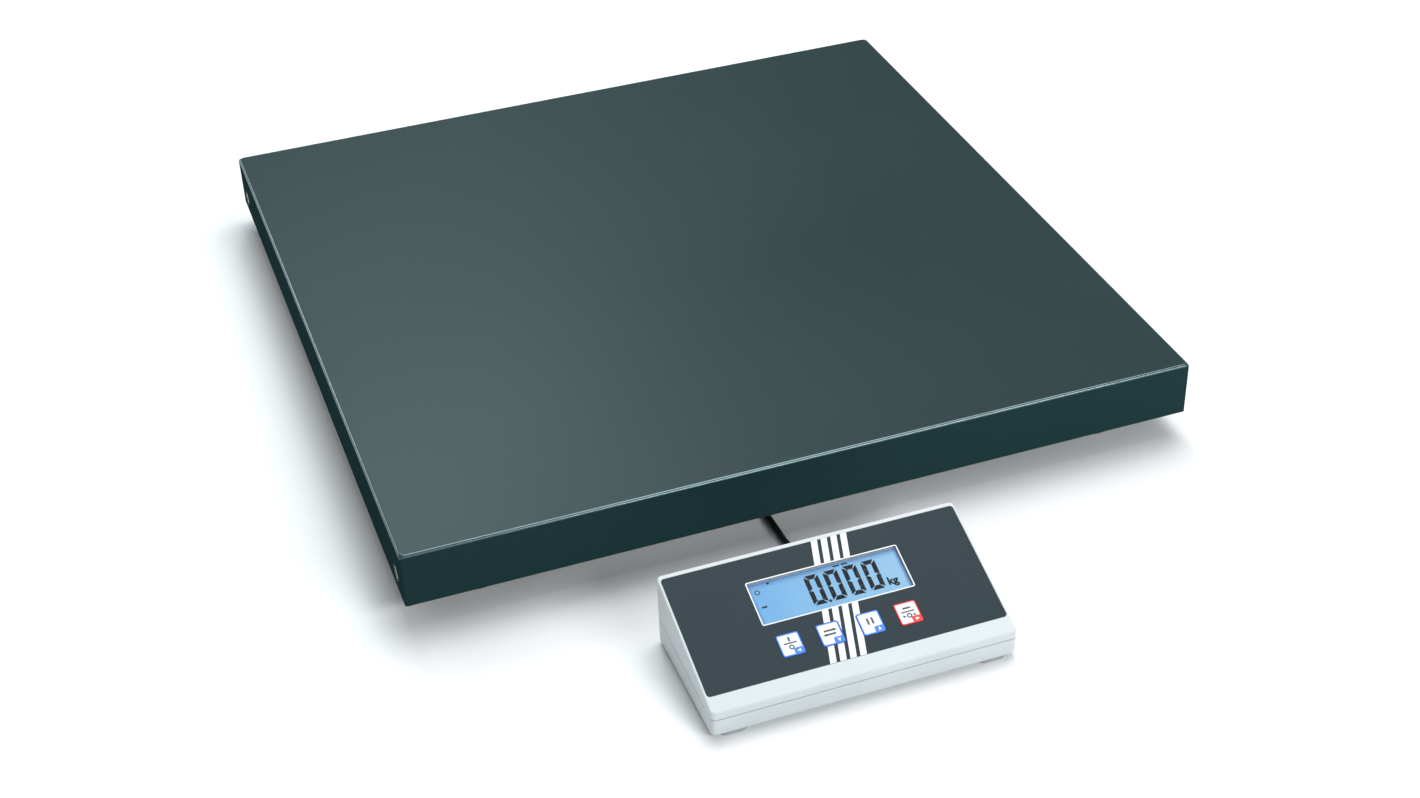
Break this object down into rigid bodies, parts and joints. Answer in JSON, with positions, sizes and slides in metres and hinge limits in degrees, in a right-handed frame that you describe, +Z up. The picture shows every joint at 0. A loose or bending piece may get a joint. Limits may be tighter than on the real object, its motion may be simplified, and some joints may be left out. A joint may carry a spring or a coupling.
{
  "type": "floor platform scale with remote display",
  "caption": "Low square weighing platform on load cells and levelling feet, cabled to a wedge-shaped display unit with a lit number window and pressable keys.",
  "frame": {"origin": "on the floor, at the centre of the whole footprint of platform and display", "axes": "+X to the user's right, +Y away from the user (the display is on the -Y side), +Z up"},
  "size_m": [0.55, 0.714, 0.058],
  "materials": {
    "cover_paint": "semi-gloss powder coat, dark grey-green",
    "frame_steel": "black powder coat",
    "bright_steel": "zinc plated",
    "cell_aluminium": "machined, clear anodised",
    "white_silicone": "matte silicone",
    "black_rubber": "matte",
    "grey_rubber": "matte light grey",
    "grey_plastic": "moulded",
    "green_plastic": "moulded",
    "black_plastic": "moulded",
    "cable_jacket": "satin PVC jacket",
    "housing_plastic": "fine spark-eroded light grey",
    "overlay_film": "fine-textured printed film, dark grey",
    "switch_film": "smooth polyester",
    "key_film": "embossed printed film, white",
    "clear_window": "clear, gloss",
    "lcd": "lit blue segment display",
    "lcd_frame": "moulded white diffuser",
    "circuit_board": "green solder mask",
    "battery_can": "printed sleeve over a metal can"
  },
  "bodies": {
    "scale": {"batteries": "battery_can", "battery_contacts": "bright_steel", "board_parts": "black_plastic", "cable_coil": "cable_jacket", "cable_gland": "black_plastic", "cable_lead_in": "cable_jacket", "cable_lead_out": "cable_jacket", "cable_tie": "black_plastic", "cell_leads": "cable_jacket", "cell_screws": "bright_steel", "cell_spacers": "bright_steel", "cover_brackets": "frame_steel", "cover_buffers": "black_rubber", "cover_screws": "bright_steel", "dc_jack": "black_plastic", "foot_lock_nuts": "bright_steel", "front_cross_rail": "frame_steel", "gauge_seals": "white_silicone", "housing_feet": "grey_rubber", "housing_screws": "bright_steel", "junction_box": "grey_plastic", "junction_bracket": "frame_steel", "junction_lid": "grey_plastic", "junction_screws": "bright_steel", "key_domes": "bright_steel", "lcd_backlight": "lcd_frame", "lcd_glass": "lcd", "lead_clips": "black_plastic", "lead_grommets": "black_rubber", "left_side_rail": "frame_steel", "load_cell_front_left": "cell_aluminium", "load_cell_front_right": "cell_aluminium", "load_cell_rear_left": "cell_aluminium", "load_cell_rear_right": "cell_aluminium", "lower_housing": "housing_plastic", "main_board": "circuit_board", "middle_cross_rail": "frame_steel", "overlay": "overlay_film", "platform_cover": "cover_paint", "rear_cross_rail": "frame_steel", "right_side_rail": "frame_steel", "strain_relief": "black_rubber", "summing_board": "circuit_board", "switch_sheet": "switch_film", "terminal_blocks": "green_plastic", "upper_housing": "housing_plastic", "window_lens": "clear_window"},
    "key_on_off": {"key_on_off": "key_film"},
    "key_units": {"key_units": "key_film"},
    "key_hold": {"key_hold": "key_film"},
    "key_tare": {"key_tare": "key_film"},
    "battery_door": {"battery_door": "housing_plastic"},
    "foot_pad_front_left": {"foot_pad_front_left": "black_rubber"},
    "foot_stem_front_left": {"foot_stem_front_left": "bright_steel"},
    "foot_pad_front_right": {"foot_pad_front_right": "black_rubber"},
    "foot_stem_front_right": {"foot_stem_front_right": "bright_steel"},
    "foot_pad_rear_left": {"foot_pad_rear_left": "black_rubber"},
    "foot_stem_rear_left": {"foot_stem_rear_left": "bright_steel"},
    "foot_pad_rear_right": {"foot_pad_rear_right": "black_rubber"},
    "foot_stem_rear_right": {"foot_stem_rear_right": "bright_steel"}
  },
  "joints": [
    {"name": "key_on_off_press", "type": "slide", "parent": "scale", "child": "key_on_off", "axis": [0, 0.3132, -0.9497], "range_m": [0, 0.0004], "stiffness_N_per_m": 4000, "springref_m": -0.0001},
    {"name": "key_units_press", "type": "slide", "parent": "scale", "child": "key_units", "axis": [0, 0.3132, -0.9497], "range_m": [0, 0.0004], "stiffness_N_per_m": 4000, "springref_m": -0.0001},
    {"name": "key_hold_press", "type": "slide", "parent": "scale", "child": "key_hold", "axis": [0, 0.3132, -0.9497], "range_m": [0, 0.0004], "stiffness_N_per_m": 4000, "springref_m": -0.0001},
    {"name": "key_tare_press", "type": "slide", "parent": "scale", "child": "key_tare", "axis": [0, 0.3132, -0.9497], "range_m": [0, 0.0004], "stiffness_N_per_m": 4000, "springref_m": -0.0001},
    {"name": "battery_door_slide", "type": "slide", "parent": "scale", "child": "battery_door", "axis": [0, 1, 0], "range_m": [0, 0.06]},
    {"name": "foot_front_left_height", "type": "slide", "parent": "scale", "child": "foot_pad_front_left", "axis": [0, 0, -1], "range_m": [-0.003, 0.004]},
    {"name": "foot_front_left_turn", "type": "hinge", "parent": "foot_pad_front_left", "child": "foot_stem_front_left", "pos_m": [-0.222, -0.153, 0.011], "axis": [0, 0, -1], "range_deg": [-870, 1155]},
    {"name": "foot_front_right_height", "type": "slide", "parent": "scale", "child": "foot_pad_front_right", "axis": [0, 0, -1], "range_m": [-0.003, 0.004]},
    {"name": "foot_front_right_turn", "type": "hinge", "parent": "foot_pad_front_right", "child": "foot_stem_front_right", "pos_m": [0.222, -0.153, 0.011], "axis": [0, 0, -1], "range_deg": [-870, 1155]},
    {"name": "foot_rear_left_height", "type": "slide", "parent": "scale", "child": "foot_pad_rear_left", "axis": [0, 0, -1], "range_m": [-0.003, 0.004]},
    {"name": "foot_rear_left_turn", "type": "hinge", "parent": "foot_pad_rear_left", "child": "foot_stem_rear_left", "pos_m": [-0.222, 0.317, 0.011], "axis": [0, 0, -1], "range_deg": [-870, 1155]},
    {"name": "foot_rear_right_height", "type": "slide", "parent": "scale", "child": "foot_pad_rear_right", "axis": [0, 0, -1], "range_m": [-0.003, 0.004]},
    {"name": "foot_rear_right_turn", "type": "hinge", "parent": "foot_pad_rear_right", "child": "foot_stem_rear_right", "pos_m": [0.222, 0.317, 0.011], "axis": [0, 0, -1], "range_deg": [-870, 1155]}
  ],
  "couplings": [
    {"joint": "foot_front_left_turn", "follows": "foot_front_left_height", "rad_per_m": 5026.6},
    {"joint": "foot_front_right_turn", "follows": "foot_front_right_height", "rad_per_m": 5026.6},
    {"joint": "foot_rear_left_turn", "follows": "foot_rear_left_height", "rad_per_m": 5026.6},
    {"joint": "foot_rear_right_turn", "follows": "foot_rear_right_height", "rad_per_m": 5026.6}
  ]
}
